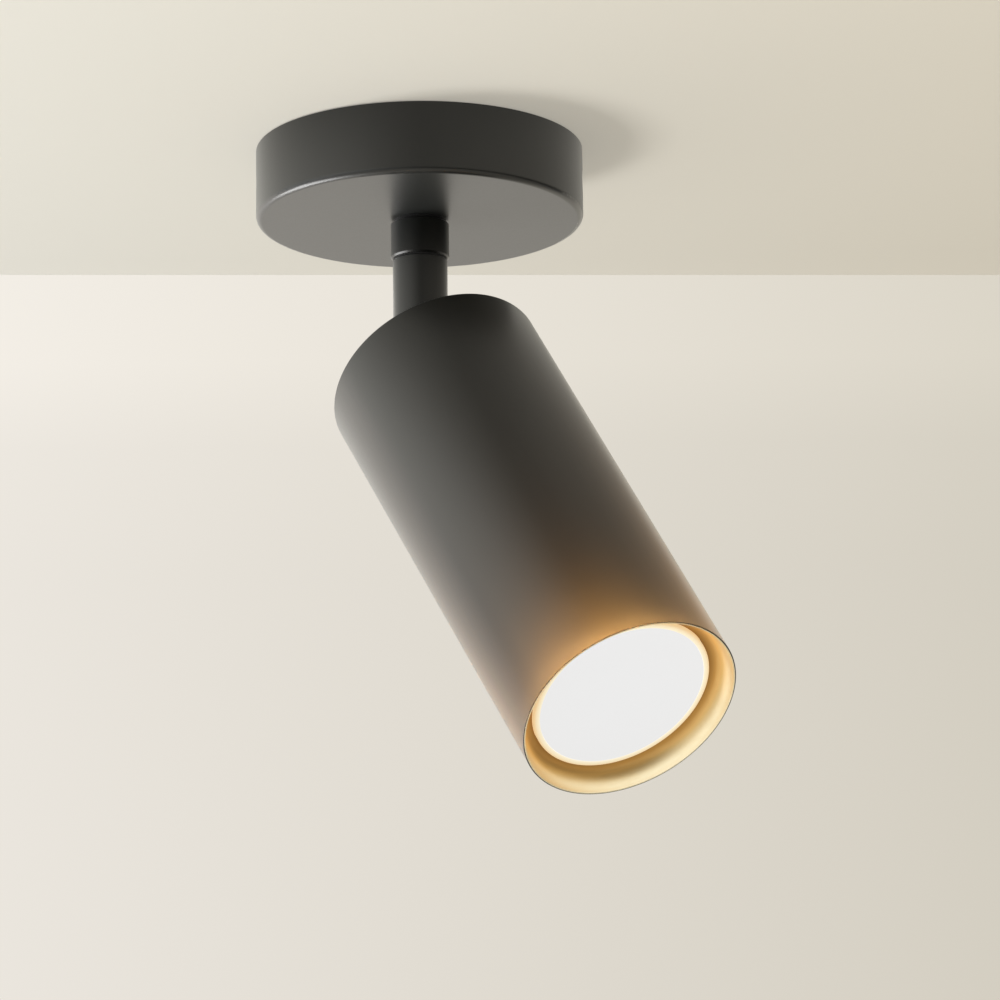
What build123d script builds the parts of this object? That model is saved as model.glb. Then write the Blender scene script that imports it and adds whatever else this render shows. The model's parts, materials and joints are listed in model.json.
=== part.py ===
from build123d import *
import os
from math import cos, radians, sin

# Surface mounted ceiling spotlight: a flat round canopy, a collar, a stem that swivels under it,
# and a cylindrical head that tilts on a hollow half-lap knuckle and holds a twist-lock lamp.
#
# Frame: the origin is the centre of the ceiling face, +Z points up into the ceiling and +X runs
# along the mounting bracket. Sizes are in millimetres and degrees. The stem and head pieces are
# drawn in frames of their own, in which the head leans towards +X, and are then turned to the aim.

# ---- Pose of the light ----
AIM_AZIMUTH = -52.0
TILT = 37.0

# ---- Fits ----
RUN_GAP = 0.05  # between faces that turn on each other, and around a shaft in its bore
SEAT_GAP = 0.05  # around a piece that is pushed or screwed into another
LAMP_GAP = 0.45  # around the lamp in the trim ring
LOOSE_GAP = 0.2  # around a piece that passes through a hole freely
CUT = 1.0  # how far a cutting body runs past the face that it opens

# ---- Edges ----
SMALL_CHAMFER = 0.2
EDGE_CHAMFER = 0.3

# ---- Canopy ----
CANOPY_DIAMETER = 90.0
CANOPY_HEIGHT = 20.0
CANOPY_WALL = 1.2
CANOPY_EDGE_RADIUS = 1.6
CANOPY_SCREW_DROP = 9.0
SCREW_SINK = 0.3
DIMPLE_RADIUS = 5.2
DIMPLE_TIP_RADIUS = 3.2
DIMPLE_ROOT = 0.4

# ---- Mounting bracket ----
SHEET = 1.5
STRIP_WIDTH = 18.0
EAR_WIDTH = 14.0
EAR_DROP = 13.5
EAR_CLEARANCE = 0.9
BEND_RADIUS = 1.0
SLOT_SPACING = 55.0
SLOT_LENGTH = 12.0
SLOT_WIDTH = 5.0
CABLE_HOLE_RADIUS = 6.0
CABLE_COLLAR_WALL = 1.2
CABLE_COLLAR_DROP = 1.0
PLUNGE = 1.5
PLUNGE_WALL = 1.5
WING_MARGIN = 1.5
WING_CORNER_RADIUS = 2.0
EARTH_WING_WIDTH = 13.0
EARTH_WING_MARGIN = 6.0
EAR_CHAMFER = 2.5
EARTH_SCREW_Y = -21.0

# ---- Terminal block ----
BLOCK_LENGTH = 15.0
BLOCK_HEIGHT = 11.5
BLOCK_Y = 16.0
CLAMP_RADIUS = 2.4
CLAMP_BORE_RADIUS = 1.6
CLAMP_INSET = 1.0
CLAMP_SCREW_RADIUS = 1.45
WIRE_HOLE_BASE = 3.9
TOWER_RADIUS = 2.6
TOWER_INSET = 0.5
CLAMP_SCREW_SINK = 1.0
CLAMP_SLOT_HALF = 0.3
CLAMP_SLOT_DEPTH = 0.8
BARE_LENGTH = 7.5

# ---- Screws: thread radius, head radius, head height ----
M3 = (1.45, 2.75, 2.0)
M4 = (1.95, 3.75, 2.2)
DRIVER_SLOT_HALF = 0.4
DRIVER_SLOT_SHARE = 0.45  # of the head's height
CROSS_SLOT_DEPTH = 1.0
CROSS_SLOT_REACH = 2.2
CROSS_SLOT_HALF = 0.35
SCREW_SHORT = 0.2  # from a screw's end to the ceiling face
NUT_CHAMFER = 0.45

# ---- Crimp lugs, from the rim of the screw hole ----
LUG_SHEET = 0.8
LUG_RIM = 1.9
LUG_NECK_HALF = 1.3
LUG_BARREL_RADIUS = 1.5
LUG_BARREL_START = 3.0
LUG_BARREL_END = 8.0
LEAD_IN_LUG = 4.0

# ---- Collar and swivel ----
COLLAR_DIAMETER = 16.0
COLLAR_HEIGHT = 10.0
COLLAR_CHAMFER = 0.45
COLLAR_SPACER_THICKNESS = 0.9
COLLAR_SPACER_INSET = 0.8
SPIGOT_RADIUS = 6.5
SPIGOT_PROUD = 0.4
COLLAR_NUT_FLATS = 17.0
COLLAR_NUT_HEIGHT = 2.6
TAB_WASHER_THICKNESS = 0.6
TAB_WIDTH = 1.6
TAB_CLEARANCE = 0.5
SPINDLE_RADIUS = 3.5
SPINDLE_BORE_RADIUS = 2.5
SPINDLE_FLAT = 2.9
SPINDLE_SOCKET = 5.0
GLIDE_WASHER_THICKNESS = 0.4
GLIDE_WASHER_INSET = 0.2
STOP_WASHER_THICKNESS = 0.8
STOP_FINGER_WIDTH = 1.6
CONE_SPRING_HEIGHT = 0.9
CONE_SPRING_SHEET = 0.4
CONE_SPRING_INSET = 0.3
CONE_SPRING_LAND = 0.5
SPINDLE_NUT_FLATS = 11.0
SPINDLE_NUT_HEIGHT = 1.8
BUSH_SKIRT = 1.2
BUSH_LIP = 0.5
BUSH_WALL = 0.8

# ---- Stem and knuckle ----
STEM_DIAMETER = 15.0
STEM_LENGTH = 26.15
STEM_CHAMFER = 0.3
KNUCKLE_STEP_GAP = 0.5
KNUCKLE_NECK = 3.5
KNUCKLE_BORE_RADIUS = 2.6
KNUCKLE_POCKET_RADIUS = 5.4
KNUCKLE_POCKET_DEPTH = 3.0
KNUCKLE_SLOT_WIDTH = 5.0
KNUCKLE_SLOT_RUN = 4.0  # the slot's length past the step
KNUCKLE_BORE_START = 1.5  # from the step to where the round bore starts
KNUCKLE_WEB = 1.25
TILT_SCREW_HEAD_RADIUS = 3.5
TILT_SCREW_HEAD_HEIGHT = 1.5
TILT_NUT_FLATS = 7.0
TILT_NUT_HEIGHT = 2.1
SPRING_WASHER_THICKNESS = 0.75
WASHER_SPLIT = 0.5
WASHER_SPLIT_REACH = 3.0
WASHER_SPLIT_SLANT = 25.0
TILT_SOCKET_FLATS = 2.5
TILT_SOCKET_DEPTH = 1.0

# ---- Head ----
HEAD_DIAMETER = 60.0
HEAD_LENGTH = 135.0
HEAD_WALL = 1.0
HEAD_EDGE = 0.4
BACK_CAP_THICKNESS = 3.0
BACK_RIM = 0.6
FRONT_RIM = 0.4
KNUCKLE_SPIGOT_RADIUS = 5.0
KNUCKLE_NUT_FLATS = 14.0
KNUCKLE_NUT_HEIGHT = 2.6
TOOTH_WASHER_THICKNESS = 0.6
TOOTH_REACH = 1.0
TOOTH_DEPTH = 1.4
TOOTH_GAP = 1.0
TOOTH_PITCH = 30
SPIGOT_TAIL = 0.6
SPIGOT_CHAMFER = 0.5
CAP_SCREW_DEPTH = 1.8

# ---- Trim ring ----
TRIM_DEPTH = 7.5
TRIM_LIP = 0.35
TRIM_LIP_SET_BACK = 0.1
TRIM_WALL = 0.7
TRIM_FLANGE_DEPTH = 6.5
TRIM_COVE_RADIUS = 2.2

# ---- Lamp ----
LAMP_DIAMETER = 49.5
LAMP_LENGTH = 50.0
LAMP_RECESS = 5.2
BEZEL_WIDTH = 1.55
BEZEL_DEPTH = 3.0
BEZEL_EDGE = 0.4
DIFFUSER_SINK = 0.15
DIFFUSER_THICKNESS = 1.8
BOARD_SET_BACK = 1.4
BOARD_THICKNESS = 1.0
BOARD_INSET = 1.5
SHELL_STEP = 0.15
SHELL_WALL = 1.2
SHELL_NECK_WALL = 0.8
LAMP_BASE_DIAMETER = 25.0
LAMP_BASE_LENGTH = 8.0
LAMP_NECK_LENGTH = 6.0
LAMP_RIM_LENGTH = 7.0
PIN_CIRCLE_RADIUS = 5.0
PIN_NECK_RADIUS = 1.5
PIN_HEAD_RADIUS = 2.5
PIN_NECK_LENGTH = 4.5
PIN_HEAD_LENGTH = 2.5
PIN_ROOT = 3.0
PIN_CHAMFER = 0.4
BASE_CHAMFER = 0.8
UNLOCK_TURN = 18.0

# ---- Lamp holder and its bracket ----
HOLDER_LENGTH = 29.0
HOLDER_WIDTH = 21.0
HOLDER_HEIGHT = 12.0
HOLDER_FACE = 2.0
HOLDER_CHAMFER = 0.8
CHAMBER_HEADROOM = 0.6
HOLDER_SCREW_X = 11.0
HOLDER_SCREW_SINK = 0.6
HOLDER_SCREW_TAIL = 0.8
CONTACT_SIZE = 4.0
CONTACT_THICKNESS = 0.4
OMEGA_SHEET = 1.2
OMEGA_WIDTH = 16.0
OMEGA_LEG_X = 17.0
OMEGA_FOOT = 9.0
FOOT_SCREW_X = 21.5
LEAD_WINDOW_RADIUS = 6.5
EARTH_NUT_FLATS = 5.5
EARTH_NUT_HEIGHT = 2.4
EARTH_TAG_DROP = 35.5

# ---- Leads ----
LEAD_RADIUS = 0.75
LEAD_PITCH = 1.55
CONDUCTOR_RADIUS = 0.45
LEAD_BEND = 4.5
POLE_BEND = 2.5
POLE_RUN_IN = 4.0
HEAD_LEAD_BEND = 12.0
HEAD_LEAD_RUN = 10.0
HOLDER_LEAD_RUN = 14.0
EARTH_LEAD_BEND = 5.0
EARTH_LEAD_RUN = 9.5
LUG_LEAD_RUN = 3.5
LEAD_START = 2.0  # from the knuckle's step to where the leads stop flexing

# ---- Heights worked out from the sizes above ----
CANOPY_RADIUS = CANOPY_DIAMETER / 2
STEM_RADIUS = STEM_DIAMETER / 2
HEAD_RADIUS = HEAD_DIAMETER / 2
LAMP_RADIUS = LAMP_DIAMETER / 2

floor_z = -CANOPY_HEIGHT + CANOPY_WALL
tab_washer_top = floor_z + TAB_WASHER_THICKNESS
collar_nut_top = tab_washer_top + COLLAR_NUT_HEIGHT
spigot_top = collar_nut_top + SPIGOT_PROUD
stop_washer_low = spigot_top + RUN_GAP
cone_spring_low = stop_washer_low + STOP_WASHER_THICKNESS
spindle_nut_low = cone_spring_low + CONE_SPRING_HEIGHT
bush_low = spindle_nut_low + SPINDLE_NUT_HEIGHT
spindle_top = bush_low + BUSH_SKIRT
bush_top = spindle_top + BUSH_LIP
wire_hole_z = -SHEET - WIRE_HOLE_BASE
pole_x = M3[1] + 3 * LOOSE_GAP + CLAMP_RADIUS
block_width = 2 * (pole_x + WIRE_HOLE_BASE + 0.3)
bare_y = BLOCK_Y + CLAMP_INSET - 2 * SEAT_GAP

collar_top = -CANOPY_HEIGHT - COLLAR_SPACER_THICKNESS
collar_low = collar_top - COLLAR_HEIGHT
stem_top = collar_low - GLIDE_WASHER_THICKNESS - RUN_GAP
pivot_z = stem_top - STEM_LENGTH
step_reach = STEM_RADIUS + KNUCKLE_STEP_GAP
hinge_reach = step_reach + KNUCKLE_NECK

ear_x = CANOPY_RADIUS - CANOPY_WALL - EAR_CLEARANCE
tab_radius = COLLAR_NUT_FLATS / 2 / cos(radians(30)) + TAB_CLEARANCE
knuckle_web_y = RUN_GAP / 2 + KNUCKLE_POCKET_DEPTH + KNUCKLE_WEB

# In the head's frame the pivot is the origin and the head points down.
back_z = -hinge_reach
cap_low = back_z - BACK_CAP_THICKNESS
front_z = back_z - HEAD_LENGTH
face_z = front_z + LAMP_RECESS
lamp_end_z = face_z + LAMP_LENGTH
holder_low = lamp_end_z + RUN_GAP * 4
holder_top = holder_low + HOLDER_HEIGHT
cross_top = holder_top + OMEGA_SHEET
holder_screw_seat = holder_low + M3[2] + HOLDER_SCREW_SINK
pin_end_z = lamp_end_z + PIN_NECK_LENGTH + PIN_HEAD_LENGTH
earth_tag_z = cap_low - EARTH_TAG_DROP

AIM = Rot(0, 0, AIM_AZIMUTH)
STEM_FRAME = AIM
HEAD_FRAME = Pos(0, 0, pivot_z) * AIM * Rot(0, -TILT, 0)
LEAD_ROW = {"live": -LEAD_PITCH, "neutral": 0.0, "earth": LEAD_PITCH}


# ---- Shapes used by several pieces ----
def rod(radius, low, high):
    """Upright round bar from one height to another."""
    return Pos(0, 0, low) * Cylinder(radius, high - low, align=(Align.CENTER, Align.CENTER, Align.MIN))


def tube(outer, inner, low, high):
    """Upright ring."""
    return rod(outer, low, high) - rod(inner, low - CUT, high + CUT)


def block(x_range, y_range, z_range):
    """Rectangular block between two corners."""
    sizes = [high - low for low, high in (x_range, y_range, z_range)]
    middle = [(high + low) / 2 for low, high in (x_range, y_range, z_range)]
    return Pos(*middle) * Box(*sizes)


def along_x(shape):
    """Turns an upright shape so that its +Z runs along +X."""
    return Rot(0, 90, 0) * shape


def along_y(shape):
    """Turns an upright shape so that its +Z runs along +Y."""
    return Rot(-90, 0, 0) * shape


def turned(points):
    """Solid turned about Z from a closed outline of (radius, height) points."""
    return revolve(Plane.XZ * make_face(Polyline(*points, close=True)), Axis.Z)


def prism(flats, low, high):
    """Upright hexagonal bar."""
    outline = RegularPolygon(flats / 2, 6, major_radius=False)
    return Pos(0, 0, low) * extrude(outline, high - low)


def hex_nut(flats, bore, low, high):
    """Hexagon nut with its corners turned off at the upper face."""
    blank = rod(flats / 2 / cos(radians(30)), low, high)
    blank = chamfer(blank.faces().sort_by(Axis.Z)[-1].edges(), NUT_CHAMFER)
    return prism(flats, low, high) & blank - rod(bore, low - CUT, high + CUT)


def pan_screw(size, length):
    """Slotted screw with a straight-sided head that stands on z = 0 and a thread that goes up."""
    thread, head, height = size
    cap = rod(head, -height, 0)
    slot_top = -height * (1 - DRIVER_SLOT_SHARE)
    slot = block((-head, head), (-DRIVER_SLOT_HALF, DRIVER_SLOT_HALF), (-height, slot_top))
    return cap - slot + rod(thread, 0, length)


def ring_lug(hole):
    """Crimp lug: a flat ring at the origin, lying under z = 0, with its barrel along +X."""
    start = hole + LUG_BARREL_START
    end = hole + LUG_BARREL_END
    eye = rod(hole + LUG_RIM, -LUG_SHEET, 0)
    neck = block((0, start + LUG_SHEET / 2), (-LUG_NECK_HALF, LUG_NECK_HALF), (-LUG_SHEET, 0))
    barrel = Pos(0, 0, -LUG_BARREL_RADIUS) * along_x(rod(LUG_BARREL_RADIUS, start, end))
    bore = Pos(0, 0, -LUG_BARREL_RADIUS) * along_x(rod(LEAD_RADIUS + SEAT_GAP, start, end + CUT))
    return eye + neck + barrel - bore - rod(hole, -2 * CUT, CUT)


def lead(name, points, bends):
    """Insulated lead along straight runs joined by tangent arcs, with the radius of each arc."""
    path = FilletPolyline(*points, radius=bends)
    section = Plane(origin=path @ 0, z_dir=path % 0) * Circle(LEAD_RADIUS)
    solid = sweep(section, path)
    ratio = solid.volume / (section.area * path.length)
    print(f"{name}: {path.length:.1f} mm, least bend {min(bends)} mm, volume ratio {ratio:.4f}")
    return solid


def both_sides(make):
    """Two copies, one at +X and one at -X."""
    return Compound(children=[make, Rot(0, 0, 180) * make])


# ---- Canopy ----
def inward_cone(radius, tip_radius, length):
    """Cone that stands on x = 0 and points along -X, to the canopy's middle."""
    cone = Cone(radius, tip_radius, length, align=(Align.CENTER, Align.CENTER, Align.MIN))
    return Rot(0, -90, 0) * cone


def canopy_cup():
    """Spun cup, open to the ceiling, with a dimple for the countersunk screw on each side."""
    outer, height, wall = CANOPY_RADIUS, CANOPY_HEIGHT, CANOPY_WALL
    hole = SPIGOT_RADIUS + SEAT_GAP
    outline = make_face(
        Polyline((hole, -height), (outer, -height), (outer, 0), (outer - wall, 0),
                 (outer - wall, floor_z), (hole, floor_z), close=True)
    )
    corner = outline.vertices().sort_by_distance((outer, -height))[0]
    cup = revolve(Plane.XZ * fillet(corner, CANOPY_EDGE_RADIUS), Axis.Z)
    sink_x = outer - SCREW_SINK
    thread, head, depth = M4[0] + SEAT_GAP, M4[1] + 0.1, M4[1] - M4[0]
    root_x = outer - wall + DIMPLE_ROOT
    boss = Pos(root_x, 0, -CANOPY_SCREW_DROP) * inward_cone(DIMPLE_RADIUS, DIMPLE_TIP_RADIUS, root_x - ear_x)
    sink = Pos(sink_x, 0, 0) * inward_cone(head, thread, depth) + along_x(rod(head, sink_x, outer + CUT))
    sink = Pos(0, 0, -CANOPY_SCREW_DROP) * (sink + along_x(rod(thread, ear_x - CUT, outer)))
    for turn in (0, 180):
        cup = cup + Rot(0, 0, turn) * boss - Rot(0, 0, turn) * sink
    return cup


def canopy_screws():
    """Countersunk screws with a cross slot, through the cup into the bracket's ears."""
    head_x = CANOPY_RADIUS - SCREW_SINK
    thread, head, _ = M4
    depth = head - thread
    cone = Pos(head_x, 0, 0) * inward_cone(head, thread, depth)
    shank = along_x(rod(thread, ear_x - SHEET - PLUNGE - PLUNGE_WALL, head_x - depth))
    across = (-CROSS_SLOT_REACH, CROSS_SLOT_REACH)
    narrow = (-CROSS_SLOT_HALF, CROSS_SLOT_HALF)
    deep = (head_x - CROSS_SLOT_DEPTH, head_x + CUT)
    slot = block(deep, across, narrow) + block(deep, narrow, across)
    return both_sides(Pos(0, 0, -CANOPY_SCREW_DROP) * (cone + shank - slot))


def mounting_bracket():
    """Pressed strip with two ears, a wing for the terminal block and a wing for the earth screw."""
    strip_end = ear_x - SHEET - BEND_RADIUS
    block_end = BLOCK_Y + BLOCK_LENGTH + WING_MARGIN
    earth_end = -EARTH_SCREW_Y + EARTH_WING_MARGIN
    flat = Rectangle(2 * strip_end, STRIP_WIDTH)
    flat += Pos(0, block_end / 2) * Rectangle(block_width + 1, block_end)
    flat += Pos(0, -earth_end / 2) * Rectangle(EARTH_WING_WIDTH, earth_end)
    flat = fillet(flat.vertices().filter_by(lambda v: abs(v.X) < strip_end - 1), WING_CORNER_RADIUS)
    flat -= [Pos(x, 0) * SlotOverall(SLOT_LENGTH, SLOT_WIDTH) for x in (-SLOT_SPACING / 2, SLOT_SPACING / 2)]
    flat -= Pos(0, BLOCK_Y + BLOCK_LENGTH / 2) * Circle(M3[0] + SEAT_GAP)
    plate = Pos(0, 0, -SHEET) * extrude(flat, SHEET)
    cable_outer = CABLE_HOLE_RADIUS + CABLE_COLLAR_WALL
    plate += rod(cable_outer, -SHEET - CABLE_COLLAR_DROP, -SHEET / 2)
    plate += Pos(0, EARTH_SCREW_Y, 0) * rod(M4[0] + PLUNGE_WALL, -SHEET - PLUNGE, -SHEET / 2)
    ear = make_face(
        Polyline((strip_end - 1, 0), (ear_x, 0), (ear_x, -EAR_DROP), (ear_x - SHEET, -EAR_DROP),
                 (ear_x - SHEET, -SHEET), (strip_end - 1, -SHEET), close=True)
    )
    ear = fillet(ear.vertices().sort_by_distance((ear_x, 0))[0], BEND_RADIUS + SHEET)
    ear = fillet(ear.vertices().sort_by_distance((ear_x - SHEET, -SHEET))[0], BEND_RADIUS)
    ear = extrude(Plane.XZ * ear, EAR_WIDTH / 2, both=True)
    ear = chamfer(ear.edges().filter_by(Axis.X).group_by(Axis.Z)[0], EAR_CHAMFER)
    plunge = along_x(rod(M4[0] + PLUNGE_WALL, ear_x - SHEET - PLUNGE, ear_x - SHEET / 2))
    ear += Pos(0, 0, -CANOPY_SCREW_DROP) * plunge
    ear -= Pos(0, 0, -CANOPY_SCREW_DROP) * along_x(rod(M4[0] + SEAT_GAP, 0, ear_x + CUT))
    plate += ear + Rot(0, 0, 180) * ear
    plate -= rod(CABLE_HOLE_RADIUS, -CANOPY_HEIGHT, CUT)
    return plate - Pos(0, EARTH_SCREW_Y, 0) * rod(M4[0] + SEAT_GAP, -CANOPY_HEIGHT, CUT)


# ---- Terminal block, under the bracket with its screws facing down ----
def screw_places():
    """Where the clamp screws stand: two in each pole."""
    inset = TOWER_RADIUS + TOWER_INSET
    return [(x, y) for x in (-pole_x, pole_x) for y in (BLOCK_Y + inset, BLOCK_Y + BLOCK_LENGTH - inset)]


def block_profile(x, half, y_range):
    """Square bar along +Y, centred on a pole's wires."""
    return block((x - half, x + half), y_range, (wire_hole_z - half, wire_hole_z + half))


def terminal_block():
    """Moulded block with a tower over each screw and a mouth at each end of each pole."""
    end_y = BLOCK_Y + BLOCK_LENGTH
    low = wire_hole_z - WIRE_HOLE_BASE
    body = block((-block_width / 2, block_width / 2), (BLOCK_Y, end_y), (low, -SHEET))
    for x, y in screw_places():
        body += Pos(x, y, 0) * rod(TOWER_RADIUS, -SHEET - BLOCK_HEIGHT, low)
    for x in (-pole_x, pole_x):
        body -= block_profile(x, CLAMP_RADIUS + SEAT_GAP, (BLOCK_Y + CLAMP_INSET, end_y - CLAMP_INSET))
        mouth = along_y(rod(CLAMP_BORE_RADIUS + LOOSE_GAP, BLOCK_Y - CUT, end_y + CUT))
        body -= Pos(x, 0, wire_hole_z) * mouth
    for x, y in screw_places():
        body -= Pos(x, y, 0) * rod(CLAMP_SCREW_RADIUS + LOOSE_GAP, -CANOPY_HEIGHT, wire_hole_z)
    middle_y = BLOCK_Y + BLOCK_LENGTH / 2
    body -= Pos(0, middle_y, 0) * rod(M3[0] + LOOSE_GAP, -CANOPY_HEIGHT, 0)
    return body - Pos(0, middle_y, 0) * rod(M3[1] + LOOSE_GAP, -CANOPY_HEIGHT, wire_hole_z)


def terminal_clamps():
    """Square brass sleeves that the wires are clamped in, one for each pole."""
    y_range = (BLOCK_Y + CLAMP_INSET, BLOCK_Y + BLOCK_LENGTH - CLAMP_INSET)
    sleeves = []
    for place_x in (-pole_x, pole_x):
        pole = block_profile(place_x, CLAMP_RADIUS, y_range)
        pole -= Pos(place_x, 0, wire_hole_z) * along_y(rod(CLAMP_BORE_RADIUS, *y_range))
        for x, y in screw_places():
            if x == place_x:
                pole -= Pos(x, y, 0) * rod(CLAMP_SCREW_RADIUS + SEAT_GAP, -CANOPY_HEIGHT, wire_hole_z)
        sleeves.append(pole)
    return Compound(children=sleeves)


def terminal_screws():
    """Slotted screws that press on the bare conductors."""
    low = -SHEET - BLOCK_HEIGHT + CLAMP_SCREW_SINK
    high = wire_hole_z - CONDUCTOR_RADIUS - 3 * SEAT_GAP
    reach = (-CLAMP_SCREW_RADIUS, CLAMP_SCREW_RADIUS)
    screws = []
    for x, y in screw_places():
        screw = rod(CLAMP_SCREW_RADIUS, low, high)
        screw -= block(reach, (-CLAMP_SLOT_HALF, CLAMP_SLOT_HALF), (low - CUT, low + CLAMP_SLOT_DEPTH))
        screws.append(Pos(x, y, 0) * screw)
    return Compound(children=screws)


def block_screw():
    """Screw that holds the terminal block up to the bracket's wing."""
    return Pos(0, BLOCK_Y + BLOCK_LENGTH / 2, wire_hole_z) * pan_screw(M3, -wire_hole_z - SCREW_SHORT)


def earth_screw():
    """Earth screw in the bracket's small wing, over the ring lug."""
    seat = -SHEET - PLUNGE - LUG_SHEET
    return Pos(0, EARTH_SCREW_Y, seat) * pan_screw(M4, -seat - SCREW_SHORT)


def earth_lug():
    """Ring lug under the earth screw's head, its barrel towards the middle."""
    return Pos(0, EARTH_SCREW_Y, -SHEET - PLUNGE) * Rot(0, 0, 90) * ring_lug(M4[0] + SEAT_GAP)


def row_place(name):
    """Place of a lead in the flat row that comes up out of the spindle."""
    offset = LEAD_ROW[name]
    return offset * cos(radians(AIM_AZIMUTH)), offset * sin(radians(AIM_AZIMUTH))


def pole_lead(name, end_x):
    """Live or neutral lead from the spindle into its pole of the terminal block."""
    x, y = row_place(name)
    points = [(x, y, bush_top), (x, y, wire_hole_z), (end_x, BLOCK_Y - POLE_RUN_IN, wire_hole_z),
              (end_x, bare_y, wire_hole_z)]
    return lead(f"canopy_{name}_lead", points, [LEAD_BEND - 0.01, POLE_BEND])


def earth_lead_canopy():
    """Earth lead from the spindle into the barrel of the ring lug."""
    x, y = row_place("earth")
    height = -SHEET - PLUNGE - LUG_BARREL_RADIUS
    mouth = EARTH_SCREW_Y + M4[0] + LUG_BARREL_END
    points = [(x, y, bush_top), (x, y, height), (0, mouth + 1.0, height), (0, mouth - LEAD_IN_LUG, height)]
    return lead("canopy_earth_lead", points, [LEAD_BEND, 2 * LEAD_RADIUS])


def bare_ends():
    """Stripped ends of the live and neutral leads inside their clamps."""
    wire = along_y(rod(CONDUCTOR_RADIUS, bare_y, bare_y + BARE_LENGTH))
    return Compound(children=[Pos(x, 0, wire_hole_z) * wire for x in (-pole_x, pole_x)])


# ---- Collar and swivel ----
def collar():
    """Shouldered collar clamped in the canopy, the bearing of the swivel."""
    outer = COLLAR_DIAMETER / 2
    body = rod(outer, collar_low, collar_top)
    body = chamfer(body.faces().sort_by(Axis.Z)[0].edges(), COLLAR_CHAMFER)
    body = chamfer(body.faces().sort_by(Axis.Z)[-1].edges(), SMALL_CHAMFER)
    spigot = rod(SPIGOT_RADIUS, collar_top, spigot_top)
    spigot = chamfer(spigot.faces().sort_by(Axis.Z)[-1].edges(), EDGE_CHAMFER)
    return body + spigot - rod(SPINDLE_RADIUS + RUN_GAP, collar_low - CUT, 0)


def collar_spacer():
    """Thin washer that leaves a dark seam between the collar and the canopy."""
    outer = COLLAR_DIAMETER / 2 - COLLAR_SPACER_INSET
    return tube(outer, SPIGOT_RADIUS + SEAT_GAP, collar_top, -CANOPY_HEIGHT)


def tab_washer():
    """Washer under the collar's nut; its bent-up tab is the fixed stop of the swivel."""
    arm_end = tab_radius + TAB_WASHER_THICKNESS
    washer = rod(COLLAR_NUT_FLATS / 2, floor_z, tab_washer_top)
    half = TAB_WIDTH / 2
    washer += block((0, arm_end), (-half, half), (floor_z, tab_washer_top))
    washer += block((tab_radius, arm_end), (-half, half), (floor_z, cone_spring_low - 2 * RUN_GAP))
    washer -= rod(SPIGOT_RADIUS + SEAT_GAP, -CANOPY_HEIGHT, 0)
    return AIM * washer


def collar_nut():
    """Thin nut that clamps the collar to the canopy."""
    return AIM * hex_nut(COLLAR_NUT_FLATS, SPIGOT_RADIUS + SEAT_GAP, tab_washer_top, collar_nut_top)


def keyed_bore(radius, flat, low, high):
    """Round bore with one flat, which locks a washer on the spindle."""
    return rod(radius, low, high) & block((-radius, radius), (-radius, flat), (low, high))


def spindle():
    """Hollow spindle screwed into the stem, with a flat that keys the stop washer."""
    body = tube(SPINDLE_RADIUS, SPINDLE_BORE_RADIUS, stem_top - SPINDLE_SOCKET, spindle_top)
    side = (-SPINDLE_RADIUS, SPINDLE_RADIUS)
    return body - block(side, (SPINDLE_FLAT, SPINDLE_RADIUS), (stop_washer_low, 0))


def glide_washer():
    """Low-friction washer in the seam between the collar and the stem."""
    outer = STEM_RADIUS - GLIDE_WASHER_INSET
    return tube(outer, SPINDLE_RADIUS + SEAT_GAP, stem_top, stem_top + GLIDE_WASHER_THICKNESS)


def stop_washer():
    """Keyed washer whose finger meets the fixed tab at each end of the swivel."""
    top = cone_spring_low
    half = STOP_FINGER_WIDTH / 2
    finger_end = tab_radius + 2 * TAB_WASHER_THICKNESS
    washer = rod(SPIGOT_RADIUS, stop_washer_low, top)
    finger = block((-finger_end, 0), (-half, half), (stop_washer_low, top))
    washer += chamfer(finger.edges().filter_by(Axis.Z).group_by(Axis.X)[0], half * 0.5)
    return washer - keyed_bore(SPINDLE_RADIUS + SEAT_GAP, SPINDLE_FLAT + SEAT_GAP, -CANOPY_HEIGHT, 0)


def cone_spring():
    """Conical spring washer that gives the swivel its friction."""
    inner = SPINDLE_RADIUS + 2 * RUN_GAP
    outer = SPIGOT_RADIUS - CONE_SPRING_INSET
    low, high, sheet, land = cone_spring_low, spindle_nut_low, CONE_SPRING_SHEET, CONE_SPRING_LAND
    return turned([(outer, low), (outer, low + sheet), (inner + land, high), (inner, high),
                   (inner, high - sheet), (outer - land, low)])


def spindle_nut():
    """Nut that loads the cone spring."""
    return hex_nut(SPINDLE_NUT_FLATS, SPINDLE_RADIUS + SEAT_GAP, spindle_nut_low, bush_low)


def edge_bush():
    """Plastic cap that keeps the spindle's edge off the leads."""
    outer = SPINDLE_RADIUS + BUSH_WALL
    cap = rod(outer, bush_low, bush_top)
    cap = chamfer(cap.faces().sort_by(Axis.Z)[-1].edges(), EDGE_CHAMFER)
    cap -= rod(SPINDLE_RADIUS + SEAT_GAP, bush_low - CUT, spindle_top)
    return cap - rod(SPINDLE_BORE_RADIUS, bush_low, 0)


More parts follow.
